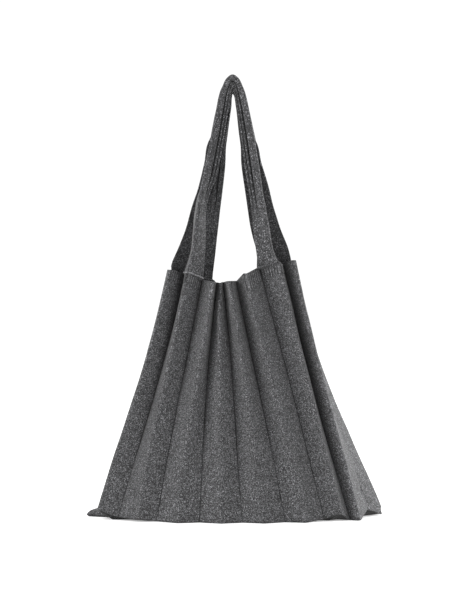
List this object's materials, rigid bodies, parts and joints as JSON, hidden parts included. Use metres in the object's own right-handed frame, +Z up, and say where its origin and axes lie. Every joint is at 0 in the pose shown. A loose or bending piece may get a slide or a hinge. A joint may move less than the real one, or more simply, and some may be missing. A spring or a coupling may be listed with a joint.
{
  "type": "pleated knit tote bag",
  "caption": "Charcoal knitted accordion-pleat tote with two folded shoulder straps, hanging by its straps with the base just at the floor.",
  "frame": {"origin": "inside of the top of the strap loop, where the hook or finger that holds the bag touches it", "axes": "+Z up, -Y the front, +X to the right of someone who faces the front"},
  "size_m": [0.4468, 0.1514, 0.6633],
  "materials": {
    "panel_knit": "matte",
    "rib_knit": "matte",
    "base_knit": "matte",
    "strap_knit": "matte"
  },
  "bodies": {
    "root": {"front_panel": "panel_knit", "back_panel": "panel_knit", "front_welt": "rib_knit", "back_welt": "rib_knit", "base_panel": "base_knit", "front_strap": "strap_knit", "back_strap": "strap_knit"}
  },
  "joints": []
}
